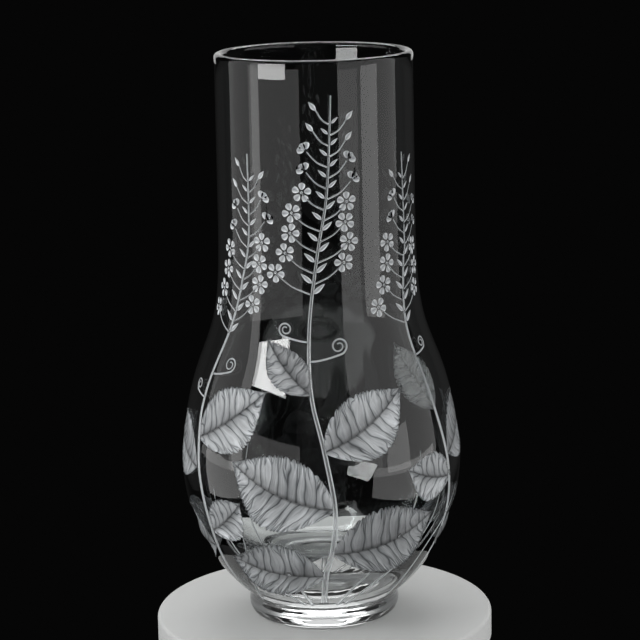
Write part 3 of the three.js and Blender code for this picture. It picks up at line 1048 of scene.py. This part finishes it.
class VASE_OT_cut_flowers(bpy.types.Operator):
    """Cut the sprays of flowers and buds on their thin stalks"""

    bl_idname = "vase.cut_flowers"
    bl_label = "Cut the flowers"

    def execute(self, context):
        cut = context.scene.vase_cut
        guide = OutsideGuide(context.scene.vase_shape)
        stalks, heads, bracts = new_cutters(), new_cutters(), new_cutters()
        thin = cut.stalk_width
        stalk = ((thin, STALK_END * thin), STALK_DEPTH * thin, STALK_GRID, HALF_POLISHED)
        bud_size = (cut.bud_length, cut.bud_width, cut.petal_depth)
        for plant in PLANTS:
            for i, (root, head, side, share) in enumerate(spray_places(guide, plant)):
                middle = root.lerp(head, STALK_BEND) - Vector((0, cut.stalk_sag))
                steps = [(degrees(p.x), p.y / MM) for p in (root, middle, head)]
                carve_groove(stalks, guide, cut, Route(steps), *stalk)
                length = cut.bract_length * (1 - BRACT_TAPER * share)
                lean = pi / 2 + side * BRACT_LEAN
                start = Vector(on_surface(guide, root, BRACT_OFFSET, 0, lean))
                size = (length, BRACT_WIDTH * length, BRACT_DEPTH * cut.petal_depth)
                carve_blade(bracts, guide, cut, start, lean, size, bract_share, BRACT_GRID)
                outward = pi / 2 - side * HEAD_LEAN
                if share < OPEN_BELOW:
                    carve_flower(heads, guide, cut, head, outward + i, OPEN_PETALS, FULL_TURN)
                elif share < HALF_OPEN_BELOW:
                    fan = (HALF_OPEN_PETALS, cut.half_open)
                    carve_flower(heads, guide, cut, head, outward, *fan)
                else:
                    carve_blade(heads, guide, cut, head, outward, bud_size, bud_share, BUD_GRID)
        cut_into_glass(stalks, "stalk_cutters")
        cut_into_glass(bracts, "bract_cutters")
        cut_into_glass(heads, "flower_cutters")
        return {"FINISHED"}


class VASE_OT_finish_glass(bpy.types.Operator):
    """Keep the cut edges crisp, check that the glass is closed and put it in the frame"""

    bl_idname = "vase.finish_glass"
    bl_label = "Finish the glass"

    def execute(self, context):
        glass = bpy.data.objects["vase_glass"]
        glass.data.set_sharp_from_angle(angle=CUT_EDGE_ANGLE)
        form = bmesh.new()
        form.from_mesh(glass.data)
        is_open = any(len(edge.link_faces) != 2 for edge in form.edges)
        form.free()
        if is_open:
            raise RuntimeError("the cut glass isn't one closed surface")
        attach(glass, "root")
        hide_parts("blown_body", "applied_foot")
        return {"FINISHED"}


def area_lamp(name, place, target, width, height, radiance):
    """A flat lamp of that radiance at a place, with its front towards the target."""
    lamp = bpy.data.lights.new(name, "AREA")
    lamp.shape = "RECTANGLE"
    lamp.size = width
    lamp.size_y = height
    lamp.energy = radiance * pi * lamp.size * lamp.size_y
    thing = add_object(name, lamp)
    thing.location = place
    thing.rotation_euler = (target - place).to_track_quat("-Z", "Y").to_euler()


def softbox(name, start, end, distance, low, high, radiance):
    """A flat upright lamp that fills the angles from start to end, in degrees round from the front."""
    corners = [Vector((sin(radians(a)), -cos(radians(a)), 0)) * distance for a in (start, end)]
    middle = (corners[0] + corners[1]) / 2 + Vector((0, 0, (low + high) / 2))
    width = (corners[1] - corners[0]).length
    area_lamp(name, middle, Vector((0, 0, middle.z)), width, high - low, radiance)


class VASE_OT_studio(bpy.types.Operator):
    """Set up the camera, the pale floor, the dark backdrop and the soft lamps"""

    bl_idname = "vase.studio"
    bl_label = "Set up the studio"

    def execute(self, context):
        studio = context.scene.vase_studio
        self.camera(context, studio)
        self.floor(context, studio)
        self.lamps(studio)
        self.backdrop(context, studio)
        context.scene.view_settings.view_transform = "Standard"
        return {"FINISHED"}

    def camera(self, context, studio):
        lens = bpy.data.cameras.new("camera")
        lens.lens = studio.lens
        camera = add_object("camera", lens)
        turn = Matrix.Rotation(pi / 2 - studio.camera_pitch, 4, "X")
        turn = turn @ Matrix.Rotation(-studio.camera_roll, 4, "Z")
        place = Vector((studio.camera_aside, -studio.camera_distance, studio.camera_height))
        camera.matrix_world = Matrix.Translation(place) @ turn
        context.scene.camera = camera

    def floor(self, context, studio):
        form = bmesh.new()
        radius = studio.floor_radius
        disc = bmesh.ops.create_circle(form, cap_ends=True, segments=FLOOR_STEPS, radius=radius)
        top = Vector((0, 0, -FLOOR_GAP))
        bmesh.ops.translate(form, verts=disc["verts"], vec=top)
        low = extruded(form, form.faces[:])
        bmesh.ops.translate(form, verts=low, vec=Vector((0, 0, -studio.floor_thickness)))
        rim = [edge for edge in form.edges if all(abs(v.co.z - top.z) < MM for v in edge.verts)]
        bmesh.ops.bevel(
            form, geom=rim, offset=FLOOR_RIM, affect="EDGES", segments=4, profile=0.5, material=-1
        )
        bmesh.ops.recalc_face_normals(form, faces=form.faces[:])
        for face in form.faces:
            face.smooth = len(face.verts) == 4
        floor = from_bmesh("floor", form, [painted_floor(context.scene.vase_finish)])
        floor.data.set_sharp_from_angle(angle=FLOOR_EDGE_ANGLE)

    def lamps(self, studio):
        for *form, share in FRONT_LAMPS + BACK_LAMPS:
            softbox(*form, share * studio.panel_light)
        for name, *_ in FRONT_LAMPS:
            bpy.data.objects[name].visible_transmission = False
        softbox(*KEY_LAMP, studio.key_light)
        sides = (TOP_LAMP_SIDE, TOP_LAMP_SIDE)
        area_lamp("top", TOP_LAMP_PLACE, TOP_LAMP_TARGET, *sides, studio.top_light)

    def backdrop(self, context, studio):
        """Near black where it is seen, mirrored or seen through glass, and a soft fill elsewhere."""
        world = bpy.data.worlds.new("backdrop")
        world.use_nodes = True
        world.node_tree.nodes.clear()
        add = partial(add_node, world.node_tree)
        kinds = ("Is Camera Ray", "Is Glossy Ray", "Is Transmission Ray", "Diffuse Depth")
        camera, glossy, through, depth = (add("LightPath", output=kind) for kind in kinds)
        # Light that a matt surface gathers through the glass is fill as well
        seen = add("Math", {0: camera, 1: glossy}, operation="MAXIMUM")
        seen = add("Math", {0: seen, 1: through}, operation="MAXIMUM")
        seen = add("Math", {0: seen, 1: depth}, operation="SUBTRACT", use_clamp=True)
        lit = {"Value": seen, "To Min": studio.fill_light, "To Max": studio.backdrop}
        sky = add("Background", {"Color": (1, 1, 1, 1), "Strength": add("MapRange", lit)})
        add("OutputWorld", {"Surface": sky})
        context.scene.world = world


class VASE_PT_panel(bpy.types.Panel):
    """Sizes, finishes and steps of the vase"""

    bl_idname = "VASE_PT_panel"
    bl_label = "Glass Vase"
    bl_space_type = "VIEW_3D"
    bl_region_type = "UI"
    bl_category = "Vase"

    def draw(self, context):
        for step in STEPS:
            self.layout.operator(step.bl_idname)
        for group in GROUPS:
            box = self.layout.box()
            settings = getattr(context.scene, group)
            for name in GROUPS[group].__annotations__:
                box.prop(settings, name)


GROUPS = {
    "vase_shape": GlassShape,
    "vase_cut": CutShape,
    "vase_finish": Finish,
    "vase_studio": Studio,
}
STEPS = (
    VASE_OT_blow,
    VASE_OT_cut_leaves,
    VASE_OT_cut_stems,
    VASE_OT_cut_flowers,
    VASE_OT_finish_glass,
    VASE_OT_studio,
)


def register():
    for item in (*GROUPS.values(), *STEPS, VASE_PT_panel):
        bpy.utils.register_class(item)
    for name, group in GROUPS.items():
        setattr(bpy.types.Scene, name, PointerProperty(type=group))


def unregister():
    for name in GROUPS:
        delattr(bpy.types.Scene, name)
    for item in (VASE_PT_panel, *reversed(STEPS), *GROUPS.values()):
        bpy.utils.unregister_class(item)


def main():
    register()
    bpy.ops.vase.blow()
    bpy.ops.vase.cut_leaves()
    bpy.ops.vase.cut_stems()
    bpy.ops.vase.cut_flowers()
    bpy.ops.vase.finish_glass()
    bpy.ops.vase.studio()


if __name__ == "__main__":
    main()
